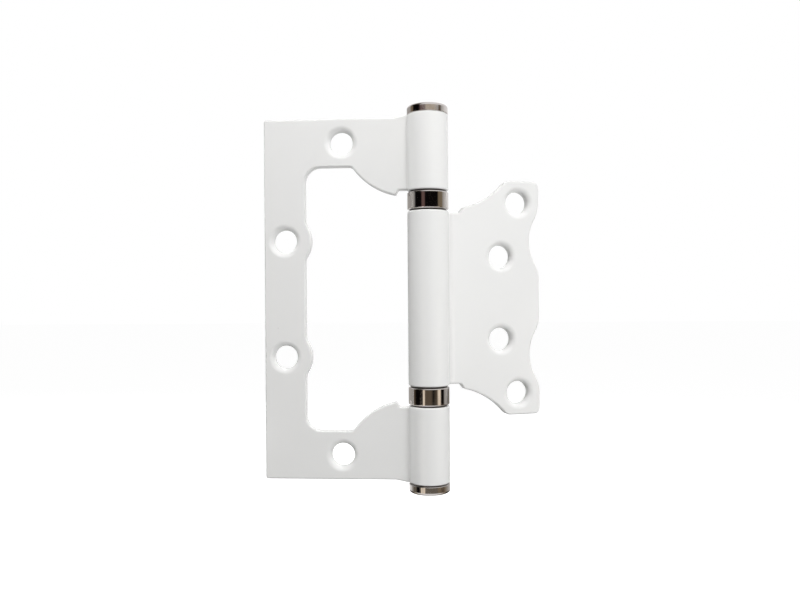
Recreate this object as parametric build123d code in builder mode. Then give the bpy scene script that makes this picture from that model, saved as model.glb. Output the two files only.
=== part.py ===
from build123d import *
import os
from math import asin, cos, pi, radians, sin, tan

# Butterfly door hinge with a ball-bearing barrel. Two leaves are punched from one thickness of
# sheet and roll round a common pin. The smaller leaf folds into the window of the larger one, so
# that the closed hinge is one sheet thick. A thrust ball bearing fills each space between the
# knuckles, and a button cap closes each end of the barrel.
#
# Millimetres. The pin lies on the Z axis with the origin at its middle. The larger leaf lies in
# the XZ plane towards -X, with the mouths of its screw holes facing -Y. A point of a leaf is
# given by its reach, the distance from the pin, and its height along Z.

# Sheet that both leaves are punched and rolled from
sheet = 2.5
front_round = 0.5
back_round = 0.25
seam = 0.2
frame_root_fillet = 0.6
door_root_fillet = 2.2

# Barrel
barrel_diameter = 11.4
middle_knuckle = 48.0
bearing_space = 5.6
knuckle_overhang = 0.6
overhang_reach = 9.2
knuckle_round = 0.4

# Larger leaf
leaf_height = 100.0
leaf_reach = 45.65
leaf_corner = 0.6

# Window of the larger leaf, with a horn above and below the barrel's middle. From a horn's tip
# the edge steps back at an angle to the roll
window_height = 73.2
window_reach = 34.15
window_corner = 4.2
shoulder_blend = 1.5
root_cut = 0.3
root_reach = 8.1
horn_angle = 62.0
horn_corner = 0.5
flare_radius = 19.45
flare_reach = 5.05
flare_height = 47.6
boss_radius = 7.5
boss_blend = 4.0

# Smaller leaf: what it clears in the window, the neck that its edge steps back to, and its
# ears and scallops
end_gap = 3.4
side_gap = 1.2
neck_overhang = 0.2
neck_reach = 8.9
neck_angle = 52.0
neck_corner = 0.6
ear_corner = 1.5
ear_blend = 2.5
scallop_depth = 3.0
scallop_radius = 12.5
scallop_blend = 9.0

# Screw holes, whose rounded mouths take countersunk heads. Those of the larger leaf stand
# midway between its edges and the window's
screw_hole = 6.4
hole_mouth = 9.5
mouth_depth = 1.6
arm_hole_reach = 24.0
edge_hole_height = 16.15
ear_hole_inset, ear_hole_drop = 6.55, 6.2
neck_hole_reach, neck_hole_height = 21.15, 11.7

# Pin and the two button caps
pin_clearance = 0.05
pin_chamfer = 0.4
cap_diameter = 11.35
cap_height = 2.45
cap_dome = 0.15
cap_round = 0.7
cap_base_round = 0.15
lower_cap_gap = 0.35
collar_diameter = 8.5
spigot_length = 4.0
spigot_gap = 0.5

# Ball bearings
shell_diameter = 11.4
shell_wall = 0.6
shell_bevel = 0.35
shell_gap = 0.4
ball_diameter = 1.6
ball_clearance = 0.03
ball_spacing = 0.1
race_gap = 0.7
race_running_gap = 0.08
race_seat_gap = 0.02

# Angle by which the smaller leaf stands back from the plane of the larger one at rest
rest_turn = 19.4

# How near a line or a size a corner or an edge lies that is picked by it
pick = 0.01

# Radii and heights that the pieces share
barrel_radius = barrel_diameter / 2
bore_radius = barrel_radius - sheet
pin_radius = bore_radius - pin_clearance
middle_end = middle_knuckle / 2
outer_start = middle_end + bearing_space
leaf_end = leaf_height / 2
outer_end = leaf_end + knuckle_overhang
window_end = window_height / 2
ear_end = window_end - end_gap
neck_end = middle_end - neck_overhang
root_start = outer_start + root_cut
root_foot = root_reach + (root_start - middle_end) / tan(radians(horn_angle))
neck_foot = neck_reach + (ear_end - neck_end) / tan(radians(neck_angle))
door_reach = window_reach - side_gap
arm_hole_height = (leaf_end + window_end) / 2
edge_hole_reach = (leaf_reach + window_reach) / 2
ear_hole_reach = door_reach - ear_hole_inset
ear_hole_height = ear_end - ear_hole_drop

# Planes of the two leaves: the face with the mouths of the screw holes, and the section across the pin
frame_face = Plane(origin=(0, -sheet / 2, 0), x_dir=(1, 0, 0), z_dir=(0, -1, 0))
turn = radians(rest_turn)
door_x, door_normal = Vector(cos(turn), sin(turn), 0), Vector(sin(turn), -cos(turn), 0)
door_face = Plane(origin=door_normal * (sheet / 2), x_dir=door_x, z_dir=door_normal)
door_section = Plane(origin=(0, 0, 0), x_dir=door_x, z_dir=(0, 0, 1))

# Blank of the larger leaf, with a ramp up to each end of the barrel
with BuildSketch(frame_face) as frame_blank:
    with BuildLine():
        Polyline(
            (-bore_radius, outer_end),
            (-barrel_radius - front_round, outer_end),
            (-overhang_reach, leaf_end),
            (-leaf_reach, leaf_end),
            (-leaf_reach, -leaf_end),
            (-overhang_reach, -leaf_end),
            (-barrel_radius - front_round, -outer_end),
            (-bore_radius, -outer_end),
            close=True,
        )
    make_face()
    fillet(frame_blank.vertices().group_by(Axis.X)[0], radius=leaf_corner)

# Window: a rounded rectangle whose corners by the barrel are closed by the two flared horns
with BuildSketch(frame_face) as window:
    Rectangle(window_reach, window_height, align=(Align.MAX, Align.CENTER))
    fillet(window.vertices().group_by(Axis.X)[0], radius=window_corner)
    with Locations((-flare_reach, flare_height), (-flare_reach, -flare_height)):
        Circle(flare_radius, mode=Mode.SUBTRACT)
    shoulders = window.vertices().filter_by_position(Axis.X, 2 * window_corner - window_reach, -root_foot)
    fillet(shoulders, radius=shoulder_blend)
    # A boss of sheet round each screw hole beside the window
    with Locations((-edge_hole_reach, edge_hole_height), (-edge_hole_reach, -edge_hole_height)):
        Circle(boss_radius, mode=Mode.SUBTRACT)
    boss_ends = window.vertices().filter_by_position(Axis.X, -window_reach - pick, -window_reach + pick)
    fillet(
        boss_ends.filter_by_position(Axis.Y, -edge_hole_height - boss_radius, edge_hole_height + boss_radius),
        radius=boss_blend,
    )
    # Beside the barrel the sheet steps back past the ends of the rolls
    with BuildLine():
        Polyline(
            (0, root_start),
            (-root_reach, root_start),
            (-root_foot, middle_end),
            (-root_foot, -middle_end),
            (-root_reach, -root_start),
            (0, -root_start),
            close=True,
        )
    make_face()
    step_corners = window.vertices().filter_by_position(Axis.X, -root_foot, -root_reach + pick)
    fillet(step_corners.filter_by(lambda v: middle_end < abs(v.Y) < root_start + pick), radius=horn_corner)

# Blank of the smaller leaf: it follows the window at a distance, with two ears and two scallops
with BuildSketch(door_face) as door_blank:
    Rectangle(door_reach, 2 * ear_end, align=(Align.MIN, Align.CENTER))
    fillet(door_blank.vertices().group_by(Axis.X)[-1], radius=ear_corner)
    with Locations((flare_reach, flare_height), (flare_reach, -flare_height)):
        Circle(flare_radius + end_gap, mode=Mode.SUBTRACT)
    ear_roots = door_blank.vertices().filter_by_position(Axis.X, neck_foot, door_reach - 2 * ear_corner)
    fillet(ear_roots, radius=ear_blend)
    scallop_reach = door_reach - scallop_depth + scallop_radius
    with Locations((scallop_reach, edge_hole_height), (scallop_reach, -edge_hole_height)):
        Circle(scallop_radius, mode=Mode.SUBTRACT)
    scallop_ends = door_blank.vertices().filter_by_position(Axis.X, door_reach - pick, door_reach + pick)
    scallop_top = edge_hole_height + scallop_radius
    fillet(scallop_ends.filter_by_position(Axis.Y, -scallop_top, scallop_top), radius=scallop_blend)
    # The neck that rolls into the middle knuckle is narrower than the leaf beside it
    for side in (1, -1):
        with BuildLine():
            Polyline(
                (0, side * neck_end),
                (neck_reach, side * neck_end),
                (neck_foot, side * ear_end),
                (0, side * ear_end),
                close=True,
            )
        make_face(mode=Mode.SUBTRACT)
    neck_corners = door_blank.vertices().filter_by_position(Axis.X, neck_reach - pick, neck_foot)
    fillet(neck_corners, radius=neck_corner)


def round_sheet(leaf, face):
    """Round the front and back edges of a leaf's sheet, apart from the edge inside its rolls."""
    inward = Axis((0, 0, 0), -face.z_dir)
    for side, radius in ((0, front_round), (-1, back_round)):
        edges = leaf.faces().sort_by(inward)[side].edges()
        fillet(edges.filter_by(lambda e: abs(e.center().dot(face.x_dir)) > bore_radius + pick), radius=radius)


# Cutter of a screw hole: its mouth is rounded from the sheet's face down to the bore
with BuildPart() as screw_cutter:
    with BuildSketch(Plane.XZ):
        with BuildLine():
            mouth = TangentArc((hole_mouth / 2, 0), (screw_hole / 2, -mouth_depth), tangent=(-1, 0))
            Polyline(mouth @ 1, (screw_hole / 2, -sheet), (0, -sheet), (0, 0), mouth @ 0)
        make_face()
    revolve(axis=Axis.Z)

# Rolls of the larger leaf: one knuckle at each end of the barrel
with BuildPart() as end_knuckle:
    with BuildSketch(Plane.XY.offset(outer_start)):
        Circle(barrel_radius)
    extrude(amount=outer_end - outer_start)
    fillet(end_knuckle.edges().filter_by(GeomType.CIRCLE), radius=knuckle_round)

# The sheet runs into the roll with a rounded root on the side of the screw holes' mouths
with BuildPart() as end_root:
    with BuildSketch(Plane.XY.offset(root_start + front_round)) as root_section:
        Rectangle(overhang_reach, sheet, align=(Align.MAX, Align.CENTER))
        Circle(barrel_radius)
        corners = root_section.vertices().filter_by_position(Axis.X, -barrel_radius, -bore_radius)
        fillet(corners.sort_by(Axis.Y)[0], radius=frame_root_fillet)
    extrude(amount=leaf_end - root_start - 2 * front_round)

# Bore of the rolls, with the seam where the end of the sheet comes back to its own face
with BuildPart() as frame_bore:
    with BuildSketch(Plane.XY.offset(-outer_end)):
        Circle(bore_radius)
        with Locations((0, sheet / 2)):
            Rectangle(barrel_radius, seam, align=(Align.MAX, Align.MAX))
    extrude(amount=2 * outer_end)

with BuildPart() as outer_leaf:
    extrude(frame_blank.sketch, amount=-sheet)
    extrude(window.sketch, amount=-sheet, mode=Mode.SUBTRACT)
    round_sheet(outer_leaf, frame_face)
    for piece in (end_knuckle.part, end_root.part):
        add(piece)
        add(mirror(piece, about=Plane.XY, mode=Mode.PRIVATE))
    add(frame_bore.part, mode=Mode.SUBTRACT)
    with Locations(frame_face):
        with Locations(
            (-arm_hole_reach, arm_hole_height),
            (-arm_hole_reach, -arm_hole_height),
            (-edge_hole_reach, edge_hole_height),
            (-edge_hole_reach, -edge_hole_height),
        ):
            add(screw_cutter.part, mode=Mode.SUBTRACT)

# Roll of the smaller leaf: the middle knuckle
with BuildPart() as middle_roll:
    with BuildSketch(door_section.offset(-middle_end)):
        Circle(barrel_radius)
    extrude(amount=middle_knuckle)
    fillet(middle_roll.edges().filter_by(GeomType.CIRCLE), radius=knuckle_round)

with BuildPart() as middle_root:
    with BuildSketch(door_section.offset(front_round - neck_end)) as neck_section:
        Rectangle(neck_reach, sheet, align=(Align.MIN, Align.CENTER))
        Circle(barrel_radius)
        corners = neck_section.vertices().filter_by_position(Axis.X, bore_radius, barrel_radius)
        fillet(corners.sort_by(Axis.Y)[0], radius=door_root_fillet)
    extrude(amount=2 * (neck_end - front_round))

with BuildPart() as door_bore:
    with BuildSketch(door_section.offset(-middle_end)):
        Circle(bore_radius)
        with Locations((0, sheet / 2)):
            Rectangle(barrel_radius, seam, align=(Align.MIN, Align.MAX))
    extrude(amount=middle_knuckle)

with BuildPart() as inner_leaf:
    extrude(door_blank.sketch, amount=-sheet)
    round_sheet(inner_leaf, door_face)
    add(middle_roll.part)
    add(middle_root.part)
    add(door_bore.part, mode=Mode.SUBTRACT)
    with Locations(door_face):
        with Locations(
            (ear_hole_reach, ear_hole_height),
            (ear_hole_reach, -ear_hole_height),
            (neck_hole_reach, neck_hole_height),
            (neck_hole_reach, -neck_hole_height),
        ):
            add(screw_cutter.part, mode=Mode.SUBTRACT)

# Pin, which ends between the spigots of the two caps
with BuildPart() as hinge_pin:
    pin_end = outer_end - spigot_length - spigot_gap
    with BuildSketch(Plane.XY.offset(-pin_end)):
        Circle(pin_radius)
    extrude(amount=2 * pin_end)
    chamfer(hinge_pin.edges().filter_by(GeomType.CIRCLE), length=pin_chamfer)

# Button cap: a low dome that rests on the knuckle's end, with a spigot in its bore
with BuildPart() as top_cap:
    with BuildSketch(Plane.XZ) as cap_profile:
        with BuildLine():
            cap_wall = Polyline(
                (0, outer_end - spigot_length),
                (pin_radius, outer_end - spigot_length),
                (pin_radius, outer_end),
                (cap_diameter / 2, outer_end),
                (cap_diameter / 2, outer_end + cap_height - cap_dome),
            )
            dome = TangentArc((0, outer_end + cap_height), cap_wall @ 1, tangent=(1, 0))
            Line(dome @ 0, cap_wall @ 0)
        make_face()
        outer_corners = cap_profile.vertices().group_by(Axis.X)[-1].sort_by(Axis.Y)
        fillet(outer_corners[-1], radius=cap_round)
        fillet(cap_profile.vertices().group_by(Axis.X)[-1].sort_by(Axis.Y)[0], radius=cap_base_round)
        chamfer(cap_profile.vertices().group_by(Axis.Y)[0].sort_by(Axis.X)[-1], length=pin_chamfer)
    revolve(axis=Axis.Z)

# The lower cap is the same, but stands a little off the knuckle on a collar
with BuildPart() as bottom_cap:
    with Locations((0, 0, -lower_cap_gap)):
        add(mirror(top_cap.part, about=Plane.XY, mode=Mode.PRIVATE))
    with BuildSketch(Plane.XY.offset(-outer_end - lower_cap_gap)):
        Circle(collar_diameter / 2)
    extrude(amount=lower_cap_gap)

# Thrust bearing between the middle knuckle and the upper one: a race on each, balls between
# them, and a plated shell that is pressed on the moving race and hides the balls
bearing_middle = middle_end + bearing_space / 2
shell_bore = shell_diameter / 2 - shell_wall
ball_circle = (pin_radius + race_running_gap + shell_bore) / 2
ball_count = int(pi / asin((ball_diameter + ball_spacing) / 2 / ball_circle))

with BuildPart() as upper_shell:
    with BuildSketch(Plane.XZ) as shell_profile:
        with Locations((shell_bore, bearing_middle)):
            Rectangle(shell_wall, bearing_space - 2 * shell_gap, align=(Align.MIN, Align.CENTER))
        fillet(shell_profile.vertices().group_by(Axis.X)[-1], radius=shell_bevel)
    revolve(axis=Axis.Z)

with BuildPart() as upper_moving_race:
    with BuildSketch(Plane.XZ):
        with BuildLine():
            Polyline(
                (pin_radius + race_running_gap, middle_end),
                (shell_bore - race_seat_gap, middle_end),
                (shell_bore - race_seat_gap, bearing_middle - race_gap / 2),
                (pin_radius + race_running_gap, bearing_middle - race_gap / 2),
                close=True,
            )
        make_face()
        with Locations((ball_circle, bearing_middle)):
            Circle(ball_diameter / 2 + ball_clearance, mode=Mode.SUBTRACT)
    revolve(axis=Axis.Z)

with BuildPart() as upper_fixed_race:
    with BuildSketch(Plane.XZ):
        with BuildLine():
            Polyline(
                (pin_radius + race_running_gap, bearing_middle + race_gap / 2),
                (shell_bore - race_running_gap, bearing_middle + race_gap / 2),
                (shell_bore - race_running_gap, outer_start),
                (pin_radius + race_running_gap, outer_start),
                close=True,
            )
        make_face()
        with Locations((ball_circle, bearing_middle)):
            Circle(ball_diameter / 2 + ball_clearance, mode=Mode.SUBTRACT)
    revolve(axis=Axis.Z)

with BuildPart() as upper_balls:
    with Locations((0, 0, bearing_middle)):
        with PolarLocations(ball_circle, ball_count):
            Sphere(ball_diameter / 2)

# The lower bearing is the upper one turned over
with BuildPart() as lower_shell:
    add(mirror(upper_shell.part, about=Plane.XY, mode=Mode.PRIVATE))
with BuildPart() as lower_moving_race:
    add(mirror(upper_moving_race.part, about=Plane.XY, mode=Mode.PRIVATE))
with BuildPart() as lower_fixed_race:
    add(mirror(upper_fixed_race.part, about=Plane.XY, mode=Mode.PRIVATE))
with BuildPart() as lower_balls:
    add(mirror(upper_balls.part, about=Plane.XY, mode=Mode.PRIVATE))

pieces = {
    "outer_leaf": outer_leaf,
    "inner_leaf": inner_leaf,
    "hinge_pin": hinge_pin,
    "top_cap": top_cap,
    "bottom_cap": bottom_cap,
    "upper_shell": upper_shell,
    "upper_moving_race": upper_moving_race,
    "upper_fixed_race": upper_fixed_race,
    "upper_balls": upper_balls,
    "lower_shell": lower_shell,
    "lower_moving_race": lower_moving_race,
    "lower_fixed_race": lower_fixed_race,
    "lower_balls": lower_balls,
}
os.makedirs("parts", exist_ok=True)
for name, piece in pieces.items():
    piece.part.label = name
    export_step(piece.part, f"parts/{name}.step")
    print(f"{name}: {len(piece.part.solids())} solids, {piece.part.volume:.1f} mm3")
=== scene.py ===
"""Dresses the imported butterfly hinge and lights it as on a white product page.

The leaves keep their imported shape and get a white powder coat. The button caps and the
bearing shells get a dark polished nickel, which mirrors round walls of light and dark
that stand outside the picture. Lengths are in metres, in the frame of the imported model:
the pin along Z, the larger leaf towards -X, the mouths of its screw holes facing -Y.
"""

from __future__ import annotations

import logging
import math
from dataclasses import dataclass, field
from enum import Enum
from typing import Any, Union

import bpy
import numpy as np
from mathutils import Matrix, Vector


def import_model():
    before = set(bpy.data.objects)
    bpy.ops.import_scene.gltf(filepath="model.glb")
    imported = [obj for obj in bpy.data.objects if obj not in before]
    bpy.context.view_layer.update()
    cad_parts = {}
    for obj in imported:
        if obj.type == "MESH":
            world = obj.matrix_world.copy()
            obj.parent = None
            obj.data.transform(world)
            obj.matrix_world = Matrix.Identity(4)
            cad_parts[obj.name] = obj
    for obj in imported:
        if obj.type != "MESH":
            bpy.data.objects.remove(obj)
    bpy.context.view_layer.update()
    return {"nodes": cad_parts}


log = logging.getLogger("hinge")

MM = 0.001
PICTURE_WIDTH = 800
SENSOR_WIDTH = 36.0

# Sockets of the Mix node when it blends colours
MIX_FACTOR = 0
MIX_FIRST = 6
MIX_SECOND = 7
MIX_RESULT = 2

Number = Union[int, float]
Colour = tuple[float, float, float]
Bands = tuple[tuple[float, Colour], ...]


class Link:
    """An output socket that takes part in Python arithmetic by adding Math nodes."""

    def __init__(self, graph: "Graph", socket: bpy.types.NodeSocket) -> None:
        """Keeps the graph and the socket.

        Args:
            graph: The graph that new nodes go into.
            socket: The output socket.
        """
        self.graph = graph
        self.socket = socket

    def _math(self, operation: str, first: Any, second: Any = 0.0) -> "Link":
        """Adds one Math node.

        Args:
            operation: The node's operation.
            first: Its first operand, a Link or a number.
            second: Its second operand.

        Returns:
            The node's result.
        """
        return self.graph.add("ShaderNodeMath", {"operation": operation}, {0: first, 1: second})

    def __add__(self, other: Union["Link", Number]) -> "Link":
        """Sum."""
        return self._math("ADD", self, other)

    def __radd__(self, other: Number) -> "Link":
        """Sum with a number on the left."""
        return self._math("ADD", other, self)

    def __sub__(self, other: Union["Link", Number]) -> "Link":
        """Difference."""
        return self._math("SUBTRACT", self, other)

    def __rsub__(self, other: Number) -> "Link":
        """Difference with a number on the left."""
        return self._math("SUBTRACT", other, self)

    def __mul__(self, other: Union["Link", Number]) -> "Link":
        """Product."""
        return self._math("MULTIPLY", self, other)

    def __rmul__(self, other: Number) -> "Link":
        """Product with a number on the left."""
        return self._math("MULTIPLY", other, self)

    def angle(self, other: "Link") -> "Link":
        """The angle, from -pi to pi, whose sine and cosine go as this value and another.

        Args:
            other: The value that goes as the cosine.

        Returns:
            The angle.
        """
        return self._math("ARCTAN2", self, other)

    def above(self, limit: Number, blend: Number) -> "Link":
        """A mask that rises from 0 to 1 as the value climbs through a limit.

        Args:
            limit: Where the mask starts to rise.
            blend: How far it takes to reach 1.

        Returns:
            The mask.
        """
        scaled = (self - limit) * (1.0 / blend)
        return self._math("MAXIMUM", self._math("MINIMUM", scaled, 1.0), 0.0)


class Graph:
    """The node tree of one material or of the world."""

    def __init__(self, tree: bpy.types.NodeTree) -> None:
        """Empties the tree.

        Args:
            tree: The node tree to fill.
        """
        self.tree = tree
        tree.nodes.clear()

    def add(
        self, kind: str, settings: dict[str, Any], sockets: dict[Any, Any], output: Any = 0
    ) -> Link:
        """Adds a node, sets it up and connects it.

        Args:
            kind: The node's type.
            settings: Its properties, set first. The key stops holds a colour ramp's stops.
            sockets: Values or Links by socket name or index.
            output: The output to return.

        Returns:
            One of the node's outputs.
        """
        node = self.tree.nodes.new(kind)
        for name, value in settings.items():
            if name == "stops":
                self._set_stops(node.color_ramp, value)
            else:
                setattr(node, name, value)
        for name, value in sockets.items():
            if isinstance(value, Link):
                self.tree.links.new(value.socket, node.inputs[name])
            else:
                node.inputs[name].default_value = value
        return Link(self, node.outputs[output]) if len(node.outputs) else Link(self, None)

    @staticmethod
    def _set_stops(ramp: bpy.types.ColorRamp, stops: list[tuple[float, Colour]]) -> None:
        """Writes a colour ramp's stops.

        Args:
            ramp: The new ramp.
            stops: Position and colour of each stop, in order.
        """
        ramp.elements.remove(ramp.elements[1])
        for index, (place, colour) in enumerate(stops):
            stop = ramp.elements.new(place) if index else ramp.elements[0]
            stop.position = place
            stop.color = (*colour, 1.0)

    def mix(self, factor: Link, first: Colour, second: Colour) -> Link:
        """Blends two colours.

        Args:
            factor: 0 gives the first colour and 1 the second.
            first: The colour at 0.
            second: The colour at 1.

        Returns:
            The blended colour.
        """
        sockets = {MIX_FACTOR: factor, MIX_FIRST: (*first, 1.0), MIX_SECOND: (*second, 1.0)}
        return self.add("ShaderNodeMix", {"data_type": "RGBA"}, sockets, MIX_RESULT)

    def place(self) -> Link:
        """The point's own place on the object, in metres."""
        return self.add("ShaderNodeTexCoord", {}, {}, "Object")

    def noise(self, grain: float, detail: float = 2.0, place: Any = None) -> Link:
        """Soft noise about 0.5.

        Args:
            grain: The size of its patches, in metres.
            detail: How many finer layers it has.
            place: Coordinates, the object's own if left out.

        Returns:
            The noise.
        """
        where = place or self.place()
        sockets = {"Vector": where, "Scale": 1.0 / grain, "Detail": detail}
        return self.add("ShaderNodeTexNoise", {}, sockets)

    def bump(self, height: Link, depth: float, strength: float = 1.0) -> Link:
        """Turns a height into a bent normal.

        Args:
            height: The height, as a share of the depth.
            depth: How far the height reaches, in metres.
            strength: How much of the bend is used.

        Returns:
            The normal.
        """
        sockets = {"Strength": strength, "Distance": depth, "Height": height}
        return self.add("ShaderNodeBump", {}, sockets)


@dataclass(frozen=True)
class Finish:
    """A finish shared by several pieces."""

    name: str

    def material(self) -> bpy.types.Material:
        """Makes the material.

        Returns:
            The new material.
        """
        made = bpy.data.materials.new(self.name)
        made.use_nodes = True
        graph = Graph(made.node_tree)
        self.build(graph)
        return made

    def build(self, graph: Graph) -> None:
        """Fills the material's graph; each finish has its own.

        Args:
            graph: The empty graph.
        """
        raise NotImplementedError

    @staticmethod
    def surface(graph: Graph, sockets: dict[str, Any]) -> None:
        """Ends a graph in a Principled shader.

        Args:
            graph: The graph to end.
            sockets: The shader's values and Links.
        """
        shader = graph.add("ShaderNodeBsdfPrincipled", {}, sockets)
        graph.add("ShaderNodeOutputMaterial", {}, {"Surface": shader})


@dataclass(frozen=True)
class PowderCoat(Finish):
    """White baked powder coat: a soft gloss over faint orange peel, with a few grains of dust.

    Each cell holds one speck. Its core and the edge over which it fades are shares of the
    cell. The roughness wanders about its value, by half the spread each way, over patches.
    """

    colour: Colour = (0.83, 0.83, 0.82)
    roughness: float = 0.14
    roughness_spread: float = 0.04
    patch_size: float = 6.0 * MM
    refraction: float = 1.5
    peel_size: float = 1.2 * MM
    peel_depth: float = 0.004 * MM
    peel_detail: float = 1.5
    speck_colour: Colour = (0.45, 0.44, 0.42)
    speck_strength: float = 0.5
    speck_cell: float = 16.0 * MM
    speck_core: float = 0.0072
    speck_edge: float = 0.012

    def build(self, graph: Graph) -> None:
        """Fills the graph.

        Args:
            graph: The empty graph.
        """
        cells = {"Vector": graph.place(), "Scale": 1.0 / self.speck_cell}
        away = graph.add("ShaderNodeTexVoronoi", {}, cells, "Distance")
        speck = 1.0 - away.above(self.speck_core, self.speck_edge)
        colour = graph.mix(speck * self.speck_strength, self.colour, self.speck_colour)
        peel = graph.bump(graph.noise(self.peel_size, self.peel_detail), self.peel_depth)
        least = self.roughness - self.roughness_spread / 2
        rough = graph.noise(self.patch_size) * self.roughness_spread + least
        self.surface(
            graph,
            {"Base Color": colour, "Roughness": rough, "Normal": peel, "IOR": self.refraction},
        )


@dataclass(frozen=True)
class PolishedPlate(Finish):
    """Dark bright nickel, with faint polishing lines round the barrel.

    The lines are noise drawn out across the pin's axis. Smears are patches where the plate
    is a little rougher.
    """

    colour: Colour = (0.60, 0.565, 0.545)
    roughness: float = 0.07
    line_size: float = 0.05 * MM
    line_stretch: tuple[float, float, float] = (0.02, 0.02, 1.0)
    line_depth: float = 0.0008 * MM
    line_strength: float = 0.5
    smear_size: float = 2.0 * MM
    smear_start: float = 0.45
    smear_blend: float = 0.3
    smear_roughness: float = 0.05

    def build(self, graph: Graph) -> None:
        """Fills the graph.

        Args:
            graph: The empty graph.
        """
        drawn = graph.add(
            "ShaderNodeMapping", {}, {"Vector": graph.place(), "Scale": self.line_stretch}
        )
        lines = graph.noise(self.line_size, place=drawn)
        bent = graph.bump(lines, self.line_depth, self.line_strength)
        smear = graph.noise(self.smear_size).above(self.smear_start, self.smear_blend)
        rough = smear * self.smear_roughness + self.roughness
        self.surface(
            graph,
            {"Base Color": (*self.colour, 1.0), "Metallic": 1.0, "Roughness": rough, "Normal": bent},
        )


@dataclass(frozen=True)
class TurnedSteel(Finish):
    """Bare turned steel with a film of oil, for the pin and the bearings' inside."""

    colour: Colour = (0.14, 0.13, 0.125)
    roughness: float = 0.4
    stain_colour: Colour = (0.07, 0.06, 0.055)
    stain_strength: float = 0.5
    stain_size: float = 1.5 * MM
    stain_start: float = 0.4
    stain_blend: float = 0.3
    stain_roughness: float = 0.1

    def build(self, graph: Graph) -> None:
        """Fills the graph.

        Args:
            graph: The empty graph.
        """
        stain = graph.noise(self.stain_size).above(self.stain_start, self.stain_blend)
        colour = graph.mix(stain * self.stain_strength, self.colour, self.stain_colour)
        rough = stain * self.stain_roughness + self.roughness
        self.surface(graph, {"Base Color": colour, "Metallic": 1.0, "Roughness": rough})


@dataclass
class Camera:
    """The photograph's point of view, with its turns in degrees."""

    place: tuple[float, float, float] = (6.11 * MM, -204.84 * MM, -0.39 * MM)
    focal_pixels: float = 740.7
    yaw: float = 3.913
    pitch: float = -0.006
    roll: float = -0.406
    nearest: float = 1.0 * MM
    farthest: float = 50.0

    def build(self) -> bpy.types.Object:
        """Makes the camera and points the scene at it.

        Returns:
            The camera object.
        """
        data = bpy.data.cameras.new("camera")
        data.sensor_width = SENSOR_WIDTH
        data.lens = self.focal_pixels / PICTURE_WIDTH * SENSOR_WIDTH
        data.clip_start = self.nearest
        data.clip_end = self.farthest
        camera = bpy.data.objects.new("camera", data)
        turned = Matrix.Rotation(math.radians(self.yaw), 4, "Z")
        level = Matrix.Rotation(math.radians(90.0 + self.pitch), 4, "X")
        rolled = Matrix.Rotation(math.radians(self.roll), 4, "Z")
        camera.matrix_world = Matrix.Translation(self.place) @ turned @ level @ rolled
        bpy.context.scene.collection.objects.link(camera)
        bpy.context.scene.camera = camera
        return camera


@dataclass(frozen=True)
class Lamp:
    """One soft area lamp that points at the hinge."""

    name: str
    place: tuple[float, float, float]
    power: float
    size: float = 0.2

    def build(self) -> bpy.types.Object:
        """Makes the lamp.

        Returns:
            The lamp object.
        """
        data = bpy.data.lights.new(self.name, "AREA")
        data.shape = "SQUARE"
        data.size = self.size
        data.energy = self.power
        lamp = bpy.data.objects.new(self.name, data)
        away = Vector(self.place)
        facing = away.to_track_quat("Z", "Y").to_matrix().to_4x4()
        lamp.matrix_world = Matrix.Translation(away) @ facing
        lamp.visible_camera = False
        lamp.visible_glossy = False
        bpy.context.scene.collection.objects.link(lamp)
        return lamp


@dataclass(frozen=True)
class Surround:
    """A wall round the pin's axis that only mirrors see, glowing in bands.

    It runs from one ring to another, each a radius and a height, so it can be upright or
    flat. A band is an azimuth in degrees and the colour there, and the colours run into
    each other between bands. Azimuth 0 is towards the camera (-Y), 90 is to its right
    (+X) and -90 to its left. The wall runs all the way round, or from one azimuth to
    another.
    """

    name: str
    low: tuple[float, float]
    high: tuple[float, float]
    bands: Bands
    arc: tuple[float, float] = (-180.0, 180.0)
    steps: int = 96

    def build(self) -> bpy.types.Object:
        """Makes the wall: a ring's point at azimuth a is (radius sin a, -radius cos a, height).

        Returns:
            The wall object.
        """
        angle = np.radians(np.linspace(*self.arc, self.steps))
        ring = np.stack([np.sin(angle), -np.cos(angle)], axis=1)
        rings = [
            np.column_stack([ring * radius, np.full(self.steps, height)])
            for radius, height in (self.low, self.high)
        ]
        points = np.concatenate(rings)
        here = np.arange(self.steps - 1)
        faces = np.stack([here, here + 1, here + 1 + self.steps, here + self.steps], axis=1)
        mesh = bpy.data.meshes.new(self.name)
        mesh.from_pydata(points.tolist(), [], faces.tolist())
        mesh.materials.append(self.glow())
        wall = bpy.data.objects.new(self.name, mesh)
        bpy.context.scene.collection.objects.link(wall)
        wall.visible_camera = False
        wall.visible_diffuse = False
        wall.visible_shadow = False
        wall.visible_transmission = False
        return wall

    def glow(self) -> bpy.types.Material:
        """Makes the wall's glowing material.

        Returns:
            The material.
        """
        material = bpy.data.materials.new(self.name)
        material.use_nodes = True
        graph = Graph(material.node_tree)
        place = graph.place()
        across = graph.add("ShaderNodeSeparateXYZ", {}, {"Vector": place}, "X")
        ahead = graph.add("ShaderNodeSeparateXYZ", {}, {"Vector": place}, "Y")
        turn = across.angle(0.0 - ahead) * (0.5 / math.pi) + 0.5
        stops = [(azimuth / 360.0 + 0.5, colour) for azimuth, colour in self.bands]
        colour = graph.add("ShaderNodeValToRGB", {"stops": stops}, {"Fac": turn})
        glow = graph.add("ShaderNodeEmission", {}, {"Color": colour, "Strength": 1.0})
        graph.add("ShaderNodeOutputMaterial", {}, {"Surface": glow})
        return material


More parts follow.
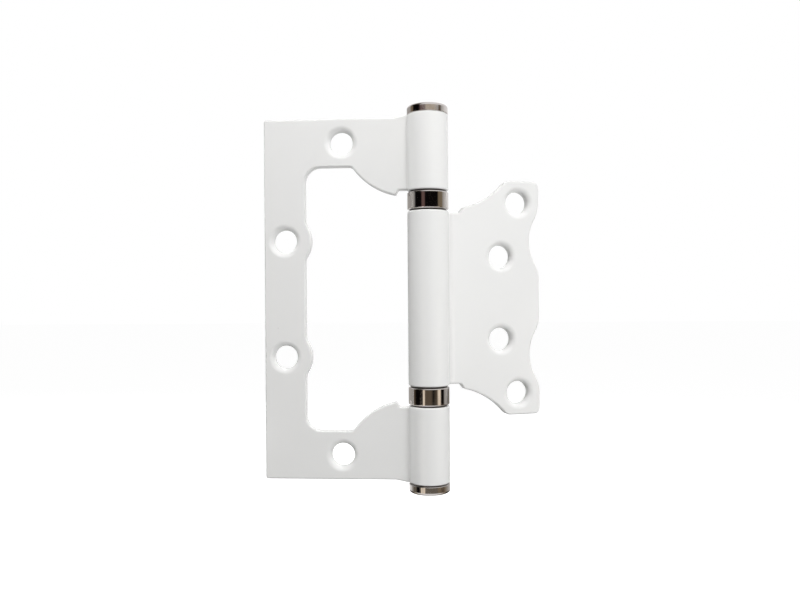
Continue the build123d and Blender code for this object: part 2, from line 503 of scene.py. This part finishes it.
WHITE = (1.0, 1.0, 1.0)
PALE = (0.5, 0.49, 0.47)
GREY = (0.17, 0.15, 0.12)
BROWN = (0.13, 0.10, 0.07)
GOLD = (0.24, 0.19, 0.13)
MAUVE = (0.16, 0.10, 0.09)
WARM = (0.55, 0.48, 0.38)
BRIGHT = (1.1, 0.96, 0.78)
BLACK = (0.004, 0.003, 0.003)

# What the plated pieces mirror, from the top down: bands placed to fit where light
# and dark fall on the photographed rings and caps
CEILING_BANDS = (
    (-180.0, WHITE), (-114.0, WHITE), (-100.0, GREY), (-46.0, GREY), (-32.0, WHITE), (180.0, WHITE),
)
SKY_BANDS = (
    (-180.0, WHITE), (-114.0, WHITE), (-98.0, BLACK), (-46.0, BLACK), (-32.0, WHITE), (180.0, WHITE),
)
HIGH_BANDS = (
    (-180.0, WHITE), (-150.0, PALE), (-110.0, PALE), (-100.0, GOLD), (-88.0, GOLD), (-80.0, BLACK),
    (-46.0, BLACK), (-34.0, MAUVE), (-12.0, MAUVE), (-4.0, WARM), (40.0, WARM), (62.0, PALE),
    (70.0, BROWN), (80.0, BROWN), (86.0, PALE), (120.0, WHITE), (180.0, WHITE),
)
UPPER_BANDS = (
    (-180.0, WHITE), (-150.0, PALE), (-84.0, PALE), (-70.0, BLACK), (-36.0, BLACK), (-30.0, MAUVE),
    (-18.0, MAUVE), (-12.0, BLACK), (30.0, BLACK), (56.0, BLACK), (64.0, GOLD), (84.0, GOLD),
    (98.0, PALE), (126.0, WHITE), (180.0, WHITE),
)
LOWER_BANDS = (
    (-180.0, WHITE), (-146.0, PALE), (-102.0, PALE), (-91.0, BROWN), (-76.0, BLACK), (-35.0, BLACK),
    (-31.0, BRIGHT), (-25.0, BRIGHT), (-20.0, BROWN), (12.0, BROWN), (25.0, BLACK), (46.0, BROWN),
    (55.0, BRIGHT), (64.0, BRIGHT), (72.0, BLACK), (88.0, BLACK), (98.0, PALE), (108.0, PALE),
    (120.0, GREY), (140.0, GREY), (160.0, WHITE), (180.0, WHITE),
)
LOW_BANDS = (
    (-180.0, WHITE), (-130.0, WHITE), (-112.0, PALE), (-98.0, GREY), (-80.0, GREY), (-74.0, BLACK),
    (-58.0, BLACK), (-50.0, GREY), (-46.0, BRIGHT), (-41.0, BRIGHT), (-37.0, PALE), (-33.0, BRIGHT),
    (-27.0, BRIGHT), (-22.0, GREY), (44.0, GREY), (50.0, GOLD), (62.0, GOLD), (72.0, BROWN),
    (84.0, BROWN), (94.0, GOLD), (125.0, PALE), (180.0, WHITE),
)
PAN_BANDS = (
    (-180.0, PALE), (-162.0, BROWN), (-142.0, BLACK), (-122.0, BLACK), (-106.0, GREY), (-90.0, WARM),
    (-66.0, WHITE), (66.0, WHITE), (88.0, WARM), (104.0, GREY), (118.0, BLACK), (136.0, BLACK),
    (152.0, BROWN), (166.0, PALE), (180.0, PALE),
)
LOW_STREAK = ((0.0, (2.5, 2.5, 2.45)),)
MIDDLE_STREAK = ((0.0, (2.0, 2.0, 1.95)),)

# Radii of the walls, and of the hole in the middle of the flat ones
FAR = 0.5
NEAR = 0.25
STREAK = 0.24
POLE = 0.001

# Heights at which the walls begin and end
CEILING_HEIGHT = 0.4
SKY_FOOT = 0.19
HIGH_FOOT = 0.137
UPPER_FOOT = 0.0
PAN_HEIGHT = -0.128
LOW_TOP = -0.066

STREAK_STEPS = 6


@dataclass
class Studio:
    """Floor, world, lamps and mirrored walls."""

    floor_height: float = -130.0 * MM
    floor_size: float = 8.0
    floor_shade: float = 0.35
    floor_glow: float = 0.97
    world_strength: float = 0.047
    lamps: list[Lamp] = field(
        default_factory=lambda: [
            Lamp("left_lamp", (-0.339, -0.06, 0.061), 0.235),
            Lamp("high_left_lamp", (-0.264, -0.047, 0.225), 0.31),
            Lamp("top_lamp", (0.0, -0.148, 0.317), 0.83),
            Lamp("key_lamp", (0.172, -0.299, 0.061), 0.58),
            Lamp("low_right_lamp", (0.293, -0.169, -0.091), 0.27),
            Lamp("right_lamp", (0.339, -0.06, 0.061), 0.175),
            Lamp("rear_lamp", (0.05, 0.55, 0.3), 2.9, size=0.5),
        ]
    )
    walls: list[Surround] = field(
        default_factory=lambda: [
            Surround("ceiling", (FAR, CEILING_HEIGHT), (POLE, CEILING_HEIGHT), CEILING_BANDS),
            Surround("sky_wall", (FAR, SKY_FOOT), (FAR, CEILING_HEIGHT), SKY_BANDS),
            Surround("high_wall", (FAR, HIGH_FOOT), (FAR, SKY_FOOT), HIGH_BANDS),
            Surround("upper_wall", (FAR, UPPER_FOOT), (FAR, HIGH_FOOT), UPPER_BANDS),
            Surround("lower_wall", (FAR, PAN_HEIGHT), (FAR, UPPER_FOOT), LOWER_BANDS),
            Surround("low_wall", (NEAR, PAN_HEIGHT), (NEAR, LOW_TOP), LOW_BANDS),
            Surround("low_pan", (POLE, PAN_HEIGHT), (NEAR, PAN_HEIGHT), PAN_BANDS),
            Surround(
                "low_streak", (STREAK, -0.086), (STREAK, -0.068), LOW_STREAK,
                arc=(-28.0, -24.0), steps=STREAK_STEPS,
            ),
            Surround(
                "middle_streak", (STREAK, -0.05), (STREAK, -0.004), MIDDLE_STREAK,
                arc=(66.0, 69.0), steps=STREAK_STEPS,
            ),
        ]
    )

    def build(self) -> None:
        """Makes everything round the hinge."""
        self.build_world()
        self.build_floor()
        for item in (*self.lamps, *self.walls):
            item.build()

    def build_world(self) -> None:
        """Makes the world white to the camera and to mirrors, and softer as a light."""
        world = bpy.data.worlds.new("studio")
        bpy.context.scene.world = world
        world.use_nodes = True
        graph = Graph(world.node_tree)
        sky = graph.add(
            "ShaderNodeBackground", {}, {"Color": (*WHITE, 1.0), "Strength": self.seen_white(graph)}
        )
        graph.add("ShaderNodeOutputWorld", {}, {"Surface": sky})

    def seen_white(self, graph: Graph) -> Link:
        """Strength 1 to camera, mirror and glass rays, and the light's strength to others.

        Args:
            graph: The graph to add to.

        Returns:
            The strength.
        """
        seen = self.seen(graph)
        return seen * (1.0 - self.world_strength) + self.world_strength

    @staticmethod
    def seen(graph: Graph) -> Link:
        """1 for a ray from the camera, a mirror or glass, and 0 for others.

        Args:
            graph: The graph to add to.

        Returns:
            The mask.
        """
        camera, mirror, glass = (
            graph.add("ShaderNodeLightPath", {}, {}, name)
            for name in ("Is Camera Ray", "Is Glossy Ray", "Is Transmission Ray")
        )
        return (camera + mirror + glass).above(0.0, 1.0)

    def build_floor(self) -> None:
        """Makes a pale floor that shows as white but keeps the hinge's shadow."""
        half = self.floor_size / 2
        corners = ((-half, -half), (half, -half), (half, half), (-half, half))
        mesh = bpy.data.meshes.new("floor")
        mesh.from_pydata([(x, y, self.floor_height) for x, y in corners], [], [(0, 1, 2, 3)])
        floor = bpy.data.objects.new("floor", mesh)
        material = bpy.data.materials.new("floor")
        material.use_nodes = True
        graph = Graph(material.node_tree)
        shade = (self.floor_shade, self.floor_shade, self.floor_shade, 1.0)
        diffuse = graph.add("ShaderNodeBsdfDiffuse", {}, {"Color": shade})
        strength = self.floor_glow * self.seen(graph)
        glow = graph.add("ShaderNodeEmission", {}, {"Color": (*WHITE, 1.0), "Strength": strength})
        both = graph.add("ShaderNodeAddShader", {}, {0: diffuse, 1: glow})
        graph.add("ShaderNodeOutputMaterial", {}, {"Surface": both})
        mesh.materials.append(material)
        bpy.context.scene.collection.objects.link(floor)


class Coat(Enum):
    """Which finish a node wears."""

    PAINT = "paint"
    PLATE = "plate"
    STEEL = "steel"


@dataclass
class Hinge:
    """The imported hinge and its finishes."""

    wears: dict[str, Coat] = field(
        default_factory=lambda: {
            "outer_leaf": Coat.PAINT,
            "inner_leaf": Coat.PAINT,
            "top_cap": Coat.PLATE,
            "bottom_cap": Coat.PLATE,
            "upper_shell": Coat.PLATE,
            "lower_shell": Coat.PLATE,
        }
    )

    def dress(self, nodes: dict[str, bpy.types.Object]) -> None:
        """Gives every node its material.

        Args:
            nodes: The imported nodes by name.
        """
        finishes = {
            Coat.PAINT: PowderCoat("powder_coat").material(),
            Coat.PLATE: PolishedPlate("polished_plate").material(),
            Coat.STEEL: TurnedSteel("turned_steel").material(),
        }
        for name, node in nodes.items():
            coat = self.wears.get(name, Coat.STEEL)
            for slot in node.material_slots:
                slot.material = finishes[coat]
            log.info("%s wears %s", name, coat.value)


def main() -> None:
    """Builds the scene."""
    logging.basicConfig(level=logging.INFO, format="%(message)s")
    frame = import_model()
    bpy.context.scene.view_settings.view_transform = "Standard"
    Camera().build()
    Studio().build()
    Hinge().dress(frame["nodes"])


if __name__ == "__main__":
    main()
